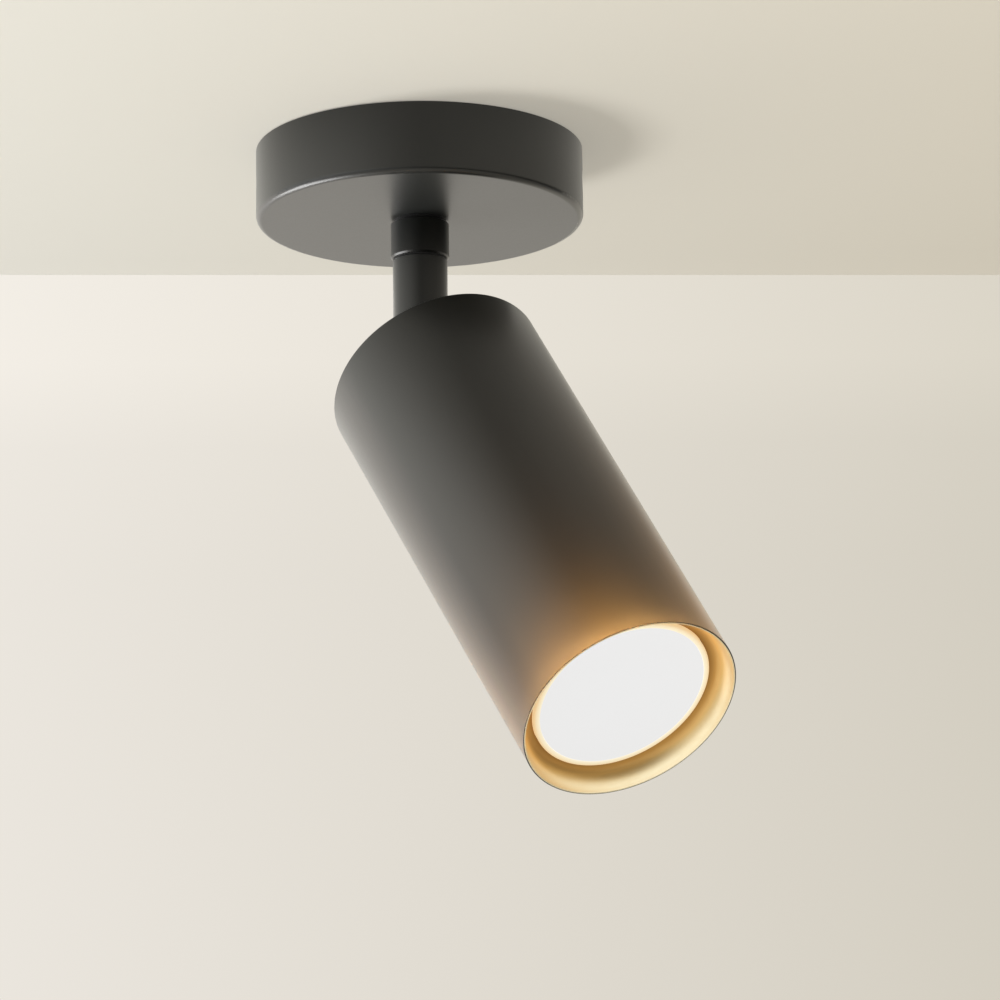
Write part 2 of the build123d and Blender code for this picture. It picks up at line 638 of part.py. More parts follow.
# ---- Stem and knuckle ----
def knuckle_half(end_z):
    """One half of the hollow half-lap knuckle, from its rounded tab at the origin up to end_z.

    The tab lies on the -Y side of the mating plane. A round pocket in it lets the leads pass the
    tilt screw, and a slot joins the pocket to the bore, so that no lead shows at any tilt.
    """
    radius = STEM_RADIUS
    mating_y = -RUN_GAP / 2
    pocket_y = mating_y - KNUCKLE_POCKET_DEPTH
    bar = rod(radius, -radius, end_z)
    profile = along_y(rod(radius, -radius - CUT, radius + CUT))
    profile += block((-radius, radius), (-radius - CUT, radius + CUT), (0, end_z + CUT))
    beyond = (-radius - CUT, radius + CUT)
    profile -= block(beyond, (mating_y, radius + 2 * CUT), (-radius - CUT, step_reach))
    half = bar & profile
    slot_half = KNUCKLE_SLOT_WIDTH / 2
    slot_top = step_reach + KNUCKLE_SLOT_RUN
    half -= along_y(rod(KNUCKLE_POCKET_RADIUS, pocket_y, mating_y + CUT))
    half -= block((-slot_half, slot_half), (pocket_y, mating_y), (0, slot_top))
    half -= rod(KNUCKLE_BORE_RADIUS, step_reach + KNUCKLE_BORE_START, end_z + CUT)
    return half - along_y(rod(M4[0] + RUN_GAP, -radius - CUT, radius))


def stem():
    """Turned stem: the spindle's socket at the top and the upper knuckle half below."""
    body = Pos(0, 0, pivot_z) * knuckle_half(STEM_LENGTH)
    body = chamfer(body.faces().sort_by(Axis.Z)[-1].outer_wire().edges(), STEM_CHAMFER)
    body -= rod(SPINDLE_RADIUS + SEAT_GAP, stem_top - SPINDLE_SOCKET, stem_top + CUT)
    nut_pocket = along_y(prism(TILT_NUT_FLATS + 2 * SEAT_GAP, -STEM_RADIUS - CUT, -knuckle_web_y))
    return body - Pos(0, 0, pivot_z) * nut_pocket


def tilt_nut():
    """Nut in the hexagonal pocket of the stem's knuckle half."""
    low = -knuckle_web_y - TILT_NUT_HEIGHT
    nut = hex_nut(TILT_NUT_FLATS, M4[0] + SEAT_GAP, low, -knuckle_web_y)
    return Pos(0, 0, pivot_z) * along_y(nut)


def tilt_spring_washer():
    """Split spring washer under the tilt screw's head."""
    low = knuckle_web_y + RUN_GAP
    ring = tube(TILT_SCREW_HEAD_RADIUS, M4[0] + 2 * RUN_GAP, low, low + SPRING_WASHER_THICKNESS)
    split = Box(WASHER_SPLIT_REACH, WASHER_SPLIT, 5, align=(Align.MIN, Align.CENTER, Align.CENTER))
    split = Pos(M4[0] - RUN_GAP, 0, low) * Rot(WASHER_SPLIT_SLANT, 0, 0) * split
    return Pos(0, 0, pivot_z) * along_y(ring - split)


def tilt_screw():
    """Low head screw through both knuckle halves, with a hexagon socket."""
    head_low = knuckle_web_y + RUN_GAP + SPRING_WASHER_THICKNESS
    head_high = head_low + TILT_SCREW_HEAD_HEIGHT
    head = rod(TILT_SCREW_HEAD_RADIUS, head_low, head_high)
    head = chamfer(head.faces().sort_by(Axis.Z)[-1].edges(), EDGE_CHAMFER)
    head -= prism(TILT_SOCKET_FLATS, head_high - TILT_SOCKET_DEPTH, head_high + CUT)
    screw = head + rod(M4[0], -knuckle_web_y - TILT_NUT_HEIGHT - 0.1, head_low)
    return Pos(0, 0, pivot_z) * along_y(screw)


def stem_lead(name):
    """Lead in the stem's bore, from just above the knuckle's pocket to the top of the spindle."""
    low = pivot_z + step_reach + LEAD_START
    return Pos(LEAD_ROW[name], 0, 0) * rod(LEAD_RADIUS, low, bush_top - RUN_GAP)


# ---- Head, in a frame with the pivot at the origin and the head pointing down ----
def head_knuckle():
    """Lower knuckle half with the threaded spigot that holds the head."""
    neck = hinge_reach
    spigot_end = neck + BACK_CAP_THICKNESS + TOOTH_WASHER_THICKNESS + KNUCKLE_NUT_HEIGHT + SPIGOT_TAIL
    half = knuckle_half(neck)
    half = chamfer(half.faces().sort_by(Axis.Z)[-1].outer_wire().edges(), SMALL_CHAMFER)
    spigot = rod(KNUCKLE_SPIGOT_RADIUS, neck, spigot_end)
    half += chamfer(spigot.faces().sort_by(Axis.Z)[-1].edges(), SPIGOT_CHAMFER)
    half -= rod(KNUCKLE_BORE_RADIUS, step_reach + KNUCKLE_BORE_START, spigot_end + CUT)
    half -= along_y(rod(TILT_SCREW_HEAD_RADIUS + LOOSE_GAP, -STEM_RADIUS - CUT, -knuckle_web_y))
    return Rot(180, 0, 0) * half


def head_tube():
    """Straight tube with a rebate at each end, for the back cap and for the trim ring."""
    bore = HEAD_RADIUS - HEAD_WALL
    body = rod(HEAD_RADIUS, front_z, back_z)
    body = chamfer(body.faces().sort_by(Axis.Z)[-1].edges(), HEAD_EDGE)
    body -= rod(bore, front_z - CUT, back_z + CUT)
    body -= rod(HEAD_RADIUS - BACK_RIM, cap_low, back_z + CUT)
    return body - rod(HEAD_RADIUS - FRONT_RIM, front_z - CUT, front_z + TRIM_DEPTH)


def back_cap():
    """Turned disc pressed into the back of the tube, drilled for the bracket's screws."""
    cap = rod(HEAD_RADIUS - BACK_RIM - SEAT_GAP, cap_low, back_z)
    cap = chamfer(cap.faces().sort_by(Axis.Z)[-1].edges(), SMALL_CHAMFER)
    cap -= rod(KNUCKLE_SPIGOT_RADIUS + SEAT_GAP, cap_low - CUT, back_z + CUT)
    drilled = cap_low + CAP_SCREW_DEPTH + 2 * LOOSE_GAP
    for x in (-FOOT_SCREW_X, FOOT_SCREW_X):
        cap -= Pos(x, 0, 0) * rod(M3[0] + SEAT_GAP, cap_low - CUT, drilled)
    return cap


def tooth_washer():
    """Toothed lock washer under the knuckle's nut."""
    low = cap_low - TOOTH_WASHER_THICKNESS
    outer = KNUCKLE_NUT_FLATS / 2 + TOOTH_REACH
    washer = tube(outer, KNUCKLE_SPIGOT_RADIUS + SEAT_GAP, low, cap_low)
    half = TOOTH_GAP / 2
    notch = block((outer - TOOTH_DEPTH, outer + CUT), (-half, half), (low - CUT, cap_low + CUT))
    return washer - [Rot(0, 0, turn) * notch for turn in range(0, 360, TOOTH_PITCH)]


def knuckle_nut():
    """Nut that clamps the back cap to the knuckle's spigot."""
    high = cap_low - TOOTH_WASHER_THICKNESS
    return hex_nut(KNUCKLE_NUT_FLATS, KNUCKLE_SPIGOT_RADIUS + SEAT_GAP, high - KNUCKLE_NUT_HEIGHT, high)


def omega_bracket():
    """Bent strip, shaped like a hat, that carries the lamp holder down from the back cap."""
    leg, sheet, low = OMEGA_LEG_X, OMEGA_SHEET, holder_top
    foot_end, foot_low = OMEGA_LEG_X + OMEGA_FOOT, cap_low - OMEGA_SHEET
    side = [(leg, low), (leg, foot_low), (foot_end, foot_low), (foot_end, cap_low),
            (leg - sheet, cap_low), (leg - sheet, low + sheet)]
    mirrored = [(-x, z) for x, z in reversed(side)]
    strip = make_face(Polyline(*side, *mirrored, close=True))
    outside, inside = BEND_RADIUS + sheet, BEND_RADIUS
    bends = [((leg, low), outside), ((leg - sheet, low + sheet), inside),
             ((leg, foot_low), inside), ((leg - sheet, cap_low), outside)]
    for (x, z), radius in bends:
        for corner in ((x, z), (-x, z)):
            strip = fillet(strip.vertices().sort_by_distance(corner)[0], radius)
    bracket = extrude(Plane.XZ * strip, OMEGA_WIDTH / 2, both=True)
    for x in (-HOLDER_SCREW_X, HOLDER_SCREW_X):
        bracket -= Pos(x, 0, 0) * rod(M3[0] + SEAT_GAP, low - CUT, low + sheet + CUT)
    for x in (-FOOT_SCREW_X, FOOT_SCREW_X):
        bracket -= Pos(x, 0, 0) * rod(M3[0] + LOOSE_GAP, foot_low - CUT, cap_low + CUT)
    bracket -= rod(LEAD_WINDOW_RADIUS, low - CUT, low + sheet + CUT)
    return bracket - Pos(0, 0, earth_tag_z) * along_x(rod(M3[0] + 2 * SEAT_GAP, 0, leg + CUT))


def bracket_screws():
    """Screws through the bracket's feet into the back cap."""
    screw = pan_screw(M3, OMEGA_SHEET + CAP_SCREW_DEPTH)
    return both_sides(Pos(FOOT_SCREW_X, 0, cap_low - OMEGA_SHEET) * screw)


def keyhole(neck, mouth, low, high):
    """Arc slot with a round mouth at its unlocked end, once for each pin."""
    cut = []
    for start in (90, 270):
        arc = CenterArc((0, 0), PIN_CIRCLE_RADIUS, start - UNLOCK_TURN, UNLOCK_TURN)
        mouth_angle = radians(start - UNLOCK_TURN)
        place = (PIN_CIRCLE_RADIUS * cos(mouth_angle), PIN_CIRCLE_RADIUS * sin(mouth_angle))
        outline = SlotArc(arc, 2 * neck) + Pos(*place) * Circle(mouth)
        cut.append(Pos(0, 0, low) * extrude(outline, high - low))
    return cut


def lamp_holder():
    """Ceramic twist-lock holder with a keyhole and a chamber for each of the lamp's pins."""
    body = Pos(0, 0, holder_low) * extrude(SlotOverall(HOLDER_LENGTH, HOLDER_WIDTH), HOLDER_HEIGHT)
    body = chamfer(body.faces().sort_by(Axis.Z)[0].outer_wire().edges(), HOLDER_CHAMFER)
    chamber_low = holder_low + HOLDER_FACE
    neck = PIN_NECK_RADIUS + LOOSE_GAP
    head = PIN_HEAD_RADIUS + LOOSE_GAP
    body -= keyhole(neck, head, holder_low - CUT, chamber_low + CUT)
    body -= keyhole(head + 0.1, head + 0.1, chamber_low, pin_end_z + CHAMBER_HEADROOM)
    for x in (-HOLDER_SCREW_X, HOLDER_SCREW_X):
        body -= Pos(x, 0, 0) * rod(M3[0] + LOOSE_GAP, holder_low - CUT, holder_top + CUT)
        body -= Pos(x, 0, 0) * rod(M3[1] + LOOSE_GAP, holder_low - CUT, holder_screw_seat)
    for y in (-PIN_CIRCLE_RADIUS, PIN_CIRCLE_RADIUS):
        body -= Pos(0, y, 0) * rod(LEAD_RADIUS + 2 * SEAT_GAP, pin_end_z, holder_top + CUT)
    return body


def holder_contacts():
    """Contact plate over the locked end of each chamber."""
    low = pin_end_z + 2 * SEAT_GAP
    half = CONTACT_SIZE / 2
    plate = block((-half, half), (-half, half), (low, low + CONTACT_THICKNESS))
    return Compound(children=[Pos(0, y, 0) * plate for y in (-PIN_CIRCLE_RADIUS, PIN_CIRCLE_RADIUS)])


def holder_screws():
    """Screws through the ceramic into the bracket's cross piece."""
    screw = pan_screw(M3, cross_top + HOLDER_SCREW_TAIL - holder_screw_seat)
    return both_sides(Pos(HOLDER_SCREW_X, 0, holder_screw_seat) * screw)


def head_earth_lug():
    """Ring lug on the inner face of the bracket's leg, its barrel up towards the cap."""
    face_x = OMEGA_LEG_X - OMEGA_SHEET
    return Pos(face_x, 0, earth_tag_z) * along_x(Rot(0, 0, 180) * ring_lug(M3[0] + SEAT_GAP))


def head_earth_screw():
    """Screw through the lug and the bracket's leg."""
    seat_x = OMEGA_LEG_X - OMEGA_SHEET - LUG_SHEET
    length = LUG_SHEET + OMEGA_SHEET + EARTH_NUT_HEIGHT + 2 * LOOSE_GAP
    return Pos(seat_x, 0, earth_tag_z) * along_x(pan_screw(M3, length))


def head_earth_nut():
    """Nut on the outside of the bracket's leg."""
    nut = hex_nut(EARTH_NUT_FLATS, M3[0] + SEAT_GAP, OMEGA_LEG_X, OMEGA_LEG_X + EARTH_NUT_HEIGHT)
    return Pos(0, 0, earth_tag_z) * along_x(nut)


def head_pole_lead(name, holder_y):
    """Live or neutral lead from the knuckle's bore through the head into the lamp holder."""
    offset = LEAD_ROW[name]
    points = [(offset, 0, -step_reach - LEAD_START), (offset, 0, -hinge_reach - HEAD_LEAD_RUN),
              (0, holder_y, holder_top + HOLDER_LEAD_RUN), (0, holder_y, pin_end_z + CHAMBER_HEADROOM)]
    return lead(f"head_{name}_lead", points, [HEAD_LEAD_BEND, HEAD_LEAD_BEND])


def head_earth_lead():
    """Earth lead from the knuckle's bore to the ring lug on the bracket's leg."""
    offset = LEAD_ROW["earth"]
    lug_x = OMEGA_LEG_X - OMEGA_SHEET - LUG_BARREL_RADIUS
    mouth = earth_tag_z + M3[0] + SEAT_GAP + LUG_BARREL_END
    points = [(offset, 0, -step_reach - LEAD_START), (offset, 0, -hinge_reach - EARTH_LEAD_RUN),
              (lug_x, 0, mouth + LUG_LEAD_RUN), (lug_x, 0, mouth - LEAD_IN_LUG)]
    return lead("head_earth_lead", points, [EARTH_LEAD_BEND, EARTH_LEAD_BEND])


# ---- Trim ring and lamp ----
def trim_ring():
    """Turned ring with a thin lip, a cove and a flange that ends just outside the lamp."""
    outer = HEAD_RADIUS - FRONT_RIM - SEAT_GAP
    lip = front_z + TRIM_LIP_SET_BACK
    wall = outer - TRIM_WALL
    hole = LAMP_RADIUS + LAMP_GAP
    flange = front_z + TRIM_FLANGE_DEPTH
    seat = front_z + TRIM_DEPTH
    outline = make_face(
        Polyline((outer, lip), (outer, seat), (hole, seat), (hole, flange), (wall, flange),
                 (outer - TRIM_LIP, lip), close=True)
    )
    cove = outline.vertices().sort_by_distance((wall, flange))[0]
    return revolve(Plane.XZ * fillet(cove, TRIM_COVE_RADIUS), Axis.Z)


def lamp_bezel():
    """Translucent ring round the diffuser."""
    ring = tube(LAMP_RADIUS, LAMP_RADIUS - BEZEL_WIDTH, face_z, face_z + BEZEL_DEPTH)
    return chamfer(ring.faces().sort_by(Axis.Z)[0].outer_wire().edges(), BEZEL_EDGE)


def lamp_diffuser():
    """Opal disc in the bezel."""
    radius = LAMP_RADIUS - BEZEL_WIDTH - SEAT_GAP
    low = face_z + DIFFUSER_SINK
    return rod(radius, low, low + DIFFUSER_THICKNESS)


def lamp_board():
    """Round circuit board behind the diffuser."""
    low = face_z + BEZEL_DEPTH + BOARD_SET_BACK
    return rod(LAMP_RADIUS - BEZEL_WIDTH - BOARD_INSET, low, low + BOARD_THICKNESS)


def lamp_shell():
    """Moulded shell, wide at the bezel and drawn in to the base."""
    front = face_z + BEZEL_DEPTH
    neck_z = lamp_end_z - LAMP_BASE_LENGTH
    neck = LAMP_BASE_DIAMETER / 2 + SHELL_NECK_WALL
    wide = LAMP_RADIUS - SHELL_STEP
    shell = turned([(0, front), (wide, front), (wide, front + LAMP_RIM_LENGTH),
                    (neck, neck_z - LAMP_NECK_LENGTH), (neck, neck_z), (0, neck_z)])
    board_top = front + BOARD_SET_BACK + BOARD_THICKNESS
    chamber = rod(LAMP_RADIUS - BEZEL_WIDTH - SHELL_WALL, front - CUT, front + BOARD_SET_BACK)
    board = rod(LAMP_RADIUS - BEZEL_WIDTH - BOARD_INSET + SEAT_GAP, front, board_top)
    return shell - chamber - board


def lamp_base():
    """Insulating base that the pins stand in."""
    low = lamp_end_z - LAMP_BASE_LENGTH
    base = rod(LAMP_BASE_DIAMETER / 2, low, lamp_end_z)
    base = chamfer(base.faces().sort_by(Axis.Z)[-1].edges(), BASE_CHAMFER)
    hole = rod(PIN_NECK_RADIUS + SEAT_GAP, lamp_end_z - PIN_ROOT, lamp_end_z + CUT)
    for y in (-PIN_CIRCLE_RADIUS, PIN_CIRCLE_RADIUS):
        base -= Pos(0, y, 0) * hole
    return base


def lamp_pins():
    """Headed pins that turn and lock in the holder."""
    head_low = lamp_end_z + PIN_NECK_LENGTH
    pin = rod(PIN_NECK_RADIUS, lamp_end_z - PIN_ROOT, head_low)
    head = rod(PIN_HEAD_RADIUS, head_low, pin_end_z)
    pin += chamfer(head.faces().sort_by(Axis.Z)[-1].edges(), PIN_CHAMFER)
    return Compound(children=[Pos(0, y, 0) * pin for y in (-PIN_CIRCLE_RADIUS, PIN_CIRCLE_RADIUS)])


# ---- The whole light: each piece under its node name ----
canopy_parts = {
    "canopy_cup": canopy_cup(),
    "canopy_screws": canopy_screws(),
    "mounting_bracket": mounting_bracket(),
    "terminal_block": terminal_block(),
    "terminal_clamps": terminal_clamps(),
    "terminal_screws": terminal_screws(),
    "terminal_block_screw": block_screw(),
    "earth_screw": earth_screw(),
    "earth_lug": earth_lug(),
    "canopy_live_lead": pole_lead("live", -pole_x),
    "canopy_neutral_lead": pole_lead("neutral", pole_x),
    "canopy_earth_lead": earth_lead_canopy(),
    "bare_conductors": bare_ends(),
    "collar": collar(),
    "collar_spacer": collar_spacer(),
    "tab_washer": tab_washer(),
    "collar_nut": collar_nut(),
}
stem_parts = {
    "stem": stem(),
    "swivel_spindle": spindle(),
    "glide_washer": glide_washer(),
    "stop_washer": stop_washer(),
    "cone_spring": cone_spring(),
    "spindle_nut": spindle_nut(),
    "edge_bush": edge_bush(),
    "tilt_screw": tilt_screw(),
    "tilt_spring_washer": tilt_spring_washer(),
    "tilt_nut": tilt_nut(),
    "stem_live_lead": stem_lead("live"),
    "stem_neutral_lead": stem_lead("neutral"),
    "stem_earth_lead": stem_lead("earth"),
}
head_parts = {
    "head_knuckle": head_knuckle(),
    "head_tube": head_tube(),
    "back_cap": back_cap(),
    "tooth_washer": tooth_washer(),
    "knuckle_nut": knuckle_nut(),
    "omega_bracket": omega_bracket(),
    "bracket_screws": bracket_screws(),
    "lamp_holder": lamp_holder(),
    "holder_contacts": holder_contacts(),
    "holder_screws": holder_screws(),
    "head_earth_lug": head_earth_lug(),
    "head_earth_screw": head_earth_screw(),
    "head_earth_nut": head_earth_nut(),
    "head_live_lead": head_pole_lead("live", PIN_CIRCLE_RADIUS),
    "head_neutral_lead": head_pole_lead("neutral", -PIN_CIRCLE_RADIUS),
    "head_earth_lead": head_earth_lead(),
    "trim_ring": trim_ring(),
    "lamp_bezel": lamp_bezel(),
    "lamp_diffuser": lamp_diffuser(),
    "lamp_board": lamp_board(),
    "lamp_shell": lamp_shell(),
    "lamp_base": lamp_base(),
    "lamp_pins": lamp_pins(),
}

os.makedirs("parts", exist_ok=True)
placed = [(canopy_parts, Location()), (stem_parts, STEM_FRAME), (head_parts, HEAD_FRAME)]
for group, frame in placed:
    for node, shape in group.items():
        export_step(frame * shape, f"parts/{node}.step")
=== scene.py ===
import json
from math import cos, pi, radians, sin

import bmesh
import bpy
from mathutils import Matrix, Vector

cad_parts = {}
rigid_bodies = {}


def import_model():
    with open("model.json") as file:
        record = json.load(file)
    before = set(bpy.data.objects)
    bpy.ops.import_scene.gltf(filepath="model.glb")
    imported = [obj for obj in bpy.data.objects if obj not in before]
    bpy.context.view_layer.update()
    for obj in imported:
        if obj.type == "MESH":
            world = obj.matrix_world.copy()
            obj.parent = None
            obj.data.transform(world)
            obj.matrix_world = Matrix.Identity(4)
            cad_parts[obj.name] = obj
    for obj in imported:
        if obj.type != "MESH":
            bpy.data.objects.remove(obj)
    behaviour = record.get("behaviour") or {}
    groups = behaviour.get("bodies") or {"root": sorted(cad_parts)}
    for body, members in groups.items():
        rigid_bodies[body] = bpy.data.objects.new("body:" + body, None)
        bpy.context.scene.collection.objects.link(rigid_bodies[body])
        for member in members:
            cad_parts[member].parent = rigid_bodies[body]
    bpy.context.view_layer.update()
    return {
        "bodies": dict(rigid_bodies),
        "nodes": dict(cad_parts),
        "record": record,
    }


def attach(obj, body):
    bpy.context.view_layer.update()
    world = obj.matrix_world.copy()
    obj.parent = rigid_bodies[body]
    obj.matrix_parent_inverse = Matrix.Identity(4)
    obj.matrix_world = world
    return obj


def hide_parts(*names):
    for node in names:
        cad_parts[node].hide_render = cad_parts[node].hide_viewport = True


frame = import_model()
scene = bpy.context.scene
MM = 0.001

# ---- Pose and sizes of the object, in millimetres and degrees, as the CAD has them ----
PIVOT_Z = -57.5
AIM = -52.0
TILT = 37.0
HEAD_RADIUS = 30.0
HEAD_LENGTH = 135.0
HEAD_WALL = 1.0
BACK_Z = -11.5  # the head's back, in the head's own frame
FRONT_Z = BACK_Z - HEAD_LENGTH
FACE_Z = FRONT_Z + 5.2  # the lamp's face, set back in the head
CAP_THICKNESS = 3.0
BACK_RIM = 0.6
FRONT_RIM = 0.4
TRIM_OUTER = HEAD_RADIUS - 0.45
TRIM_DEPTH = 7.5
TRIM_FLANGE_DEPTH = 6.5
LAMP_RADIUS = 24.75
BEZEL_WIDTH = 1.55
BEZEL_DEPTH = 3.0

# ---- What the smooth pieces have beyond the CAD, in millimetres ----
BACK_ROUND = 0.4
FRONT_ROUND = 0.12
LIP_RADIUS = 0.14
LIP_OUTER = HEAD_RADIUS - 0.32
LIP_TOP_Z = FRONT_Z - 0.02  # where the lip's round starts
LIP_END_Z = FRONT_Z - 0.12
LAMP_GAP = 0.1
BEZEL_ROUND = 0.55
BEZEL_DOME = 0.02

HEAD_TURN = Matrix.Rotation(radians(AIM), 4, "Z") @ Matrix.Rotation(radians(-TILT), 4, "Y")
HEAD = Matrix.Translation((0, 0, PIVOT_Z * MM)) @ HEAD_TURN


# ---- Node helpers ----
class Nodes:
    """A node tree being filled."""

    def __init__(self, tree):
        self.tree = tree

    def add(self, kind, **values):
        node = self.tree.nodes.new(kind)
        for key, value in values.items():
            setattr(node, key, value)
        return node

    def join(self, a, b):
        self.tree.links.new(a, b)

    def math(self, operation, *terms):
        node = self.add("ShaderNodeMath", operation=operation)
        for socket, term in zip(node.inputs, terms):
            if isinstance(term, (int, float)):
                socket.default_value = term
            else:
                self.join(term, socket)
        return node.outputs[0]

    def grey(self, factor, low, high, start=0.35, end=0.65, course="LINEAR"):
        """Runs from low to high while the factor runs from start to end."""
        node = self.add("ShaderNodeMapRange", interpolation_type=course)
        node.inputs["From Min"].default_value = start
        node.inputs["From Max"].default_value = end
        node.inputs["To Min"].default_value = low
        node.inputs["To Max"].default_value = high
        self.join(factor, node.inputs["Value"])
        return node.outputs[0]

    def ramp(self, factor, *stops):
        """Colours at places along a factor."""
        node = self.add("ShaderNodeValToRGB")
        elements = node.color_ramp.elements
        while len(elements) < len(stops):
            elements.new(0.5)
        for element, (place, colour) in zip(elements, stops):
            element.position = place
            element.color = (*colour, 1)
        self.join(factor, node.inputs[0])
        return node.outputs[0]

    def gradient(self, where, axis, start, end, *stops):
        """Colours at places between two positions along an axis."""
        parts = self.add("ShaderNodeSeparateXYZ")
        self.join(where, parts.inputs[0])
        return self.ramp(self.grey(parts.outputs[axis], 0, 1, start, end), *stops)

    def mix(self, factor, first, second):
        """Shader between two others."""
        node = self.add("ShaderNodeMixShader")
        for socket, term in zip(node.inputs, (factor, first, second)):
            if isinstance(term, float):
                socket.default_value = term
            else:
                self.join(term, socket)
        return node.outputs[0]


class Shade(Nodes):
    """A material being built out of nodes."""

    def __init__(self, name):
        self.mat = bpy.data.materials.new(name)
        self.mat.use_nodes = True
        super().__init__(self.mat.node_tree)
        self.bsdf = self.tree.nodes["Principled BSDF"]
        self.out = self.tree.nodes["Material Output"]

    def place(self, matrix=None):
        """Object coordinates, turned into a body's own frame if a matrix is given."""
        coords = self.add("ShaderNodeTexCoord").outputs["Object"]
        if matrix is None:
            return coords
        mapping = self.add("ShaderNodeMapping", vector_type="TEXTURE")
        mapping.inputs["Location"].default_value = matrix.to_translation()
        mapping.inputs["Rotation"].default_value = matrix.to_euler("XYZ")
        self.join(coords, mapping.inputs["Vector"])
        return mapping.outputs["Vector"]

    def stretched(self, where, scale):
        mapping = self.add("ShaderNodeMapping")
        mapping.inputs["Scale"].default_value = scale
        self.join(where, mapping.inputs["Vector"])
        return mapping.outputs["Vector"]

    def radius(self, where):
        """Distance from the axis of a body's own frame."""
        flat = self.add("ShaderNodeVectorMath", operation="MULTIPLY")
        flat.inputs[1].default_value = (1, 1, 0)
        self.join(where, flat.inputs[0])
        length = self.add("ShaderNodeVectorMath", operation="LENGTH")
        self.join(flat.outputs[0], length.inputs[0])
        return length.outputs["Value"]

    def noise(self, where, size, detail=3.0, rough=0.55):
        """Noise whose blobs are about size metres across."""
        node = self.add("ShaderNodeTexNoise")
        node.inputs["Scale"].default_value = 1.0 / size
        node.inputs["Detail"].default_value = detail
        node.inputs["Roughness"].default_value = rough
        self.join(where, node.inputs["Vector"])
        return node.outputs["Fac"]

    def tint(self, factor, colour, low, high):
        """A colour times low to high, with the middle of a noise."""
        shades = [tuple(min(1.0, c * share) for c in colour) for share in (low, high)]
        return self.ramp(factor, (0.3, shades[0]), (0.7, shades[1]))

    def around(self, factor, roughness, below, above):
        return self.grey(factor, roughness - below, roughness + above)

    def bump(self, *layers):
        """Bump from (height, depth in metres) layers, coarse ones first."""
        normal = None
        for height, depth in layers:
            node = self.add("ShaderNodeBump")
            node.inputs["Distance"].default_value = depth
            self.join(height, node.inputs["Height"])
            if normal is not None:
                self.join(normal, node.inputs["Normal"])
            normal = node.outputs["Normal"]
        self.join(normal, self.bsdf.inputs["Normal"])

    def set(self, **values):
        for key, value in values.items():
            socket = self.bsdf.inputs[key.replace("_", " ")]
            if hasattr(value, "is_output"):
                self.join(value, socket)
            else:
                socket.default_value = value


# ---- Paint ----
PAINT = (0.0085, 0.0090, 0.0076)
PAINT_ROUGHNESS = 0.44
PAINT_IOR = 1.25
COAT_ROUGHNESS = 0.31
COAT_IOR = 1.5
SHEEN_ROUGHNESS = 0.30
SHEEN_TINT = (0.90, 0.97, 1.0, 1)
HEAD_SHEEN = 0.35
CANOPY_SHEEN = 0.10
CANOPY_COAT_IOR = 1.62
# Collar colour darker than PAINT: painted shade of the canopy over it; it is the same paint as the rest.
COLLAR_PAINT_PAINTED_SHADE = (0.0060, 0.0064, 0.0050)
COLLAR_COAT = 0.75
COLLAR_SHEEN = 0.15


def paint(name, colour, coat, sheen, coat_ior=COAT_IOR):
    """Fine matte powder coat."""
    s = Shade(name)
    where = s.place()
    cloud = s.noise(where, 18 * MM, 2.0)
    grain = s.noise(where, 0.42 * MM, 2.0, 0.5)
    orange_peel = s.noise(where, 1.6 * MM, 2.0, 0.4)
    speckle = s.math("ADD", s.math("MULTIPLY", cloud, 0.4), s.math("MULTIPLY", grain, 0.6))
    s.set(Base_Color=s.tint(speckle, colour, 0.86, 1.14), IOR=PAINT_IOR)
    s.set(Roughness=s.around(grain, PAINT_ROUGHNESS, 0.03, 0.03))
    s.set(Coat_Weight=coat, Coat_Roughness=COAT_ROUGHNESS, Coat_IOR=coat_ior)
    s.set(Sheen_Weight=sheen, Sheen_Roughness=SHEEN_ROUGHNESS, Sheen_Tint=SHEEN_TINT)
    s.bump((orange_peel, 0.012 * MM), (grain, 0.006 * MM))
    return s.mat


# ---- Lit lamp and gold ring: colours from the inside (0) to the outside (1); the ring's colours and glow are painted light and shade from the lamp ----
DIFFUSER_LIGHT = 0.79
BEZEL_LIGHT = 0.84
BEZEL_GLOW = ((0.0, (1.0, 0.93, 0.72)), (0.5, (0.95, 0.81, 0.55)), (1.0, (0.86, 0.62, 0.33)))
GOLD_ROUGHNESS = 0.38
# Gold with painted light: dark brown painted shade beside the lamp, pale painted reflection of the lamp's
# light towards the rim.
GOLD_WITH_PAINTED_LIGHT = ((0.0, (0.30, 0.15, 0.04)), (0.40, (0.52, 0.29, 0.09)),
        (0.68, (0.86, 0.62, 0.29)), (0.92, (0.98, 0.90, 0.66)))
# Painted glow of the lamp's light on the ring, given as emission though the ring is no lamp.
PAINTED_LAMPLIGHT_GLOW = ((0.0, (0.085, 0.038, 0.008)), (0.35, (0.17, 0.088, 0.022)),
             (0.6, (0.25, 0.138, 0.036)), (0.85, (0.08, 0.066, 0.034)))


def anodised_with_painted_light(name, matrix):
    """Satin gold anodising with fine turned rings, with painted light: dark brown painted shade beside the
    lamp, pale painted lamp light towards the rim, and a painted glow as emission.
    """
    s = Shade(name)
    where = s.place(matrix)
    across = s.grey(s.radius(where), 0.0, 1.0, LAMP_RADIUS * MM, LIP_OUTER * MM)
    cloud = s.noise(where, 10 * MM, 2.0)
    # Painted light and shade: the colour and the glow follow the distance from the lamp.
    shade = s.math("ADD", across, s.math("MULTIPLY", s.math("SUBTRACT", cloud, 0.5), 0.08))
    s.set(Base_Color=s.ramp(shade, *GOLD_WITH_PAINTED_LIGHT), Emission_Color=s.ramp(shade, *PAINTED_LAMPLIGHT_GLOW), Emission_Strength=1.0)
    rings = s.noise(s.stretched(where, (0.05, 0.05, 1.0)), 0.18 * MM, 1.0, 0.5)
    s.set(Metallic=1.0, Roughness=s.around(rings, GOLD_ROUGHNESS, 0.03, 0.03))
    s.bump((rings, 0.0004 * MM))
    return s.mat


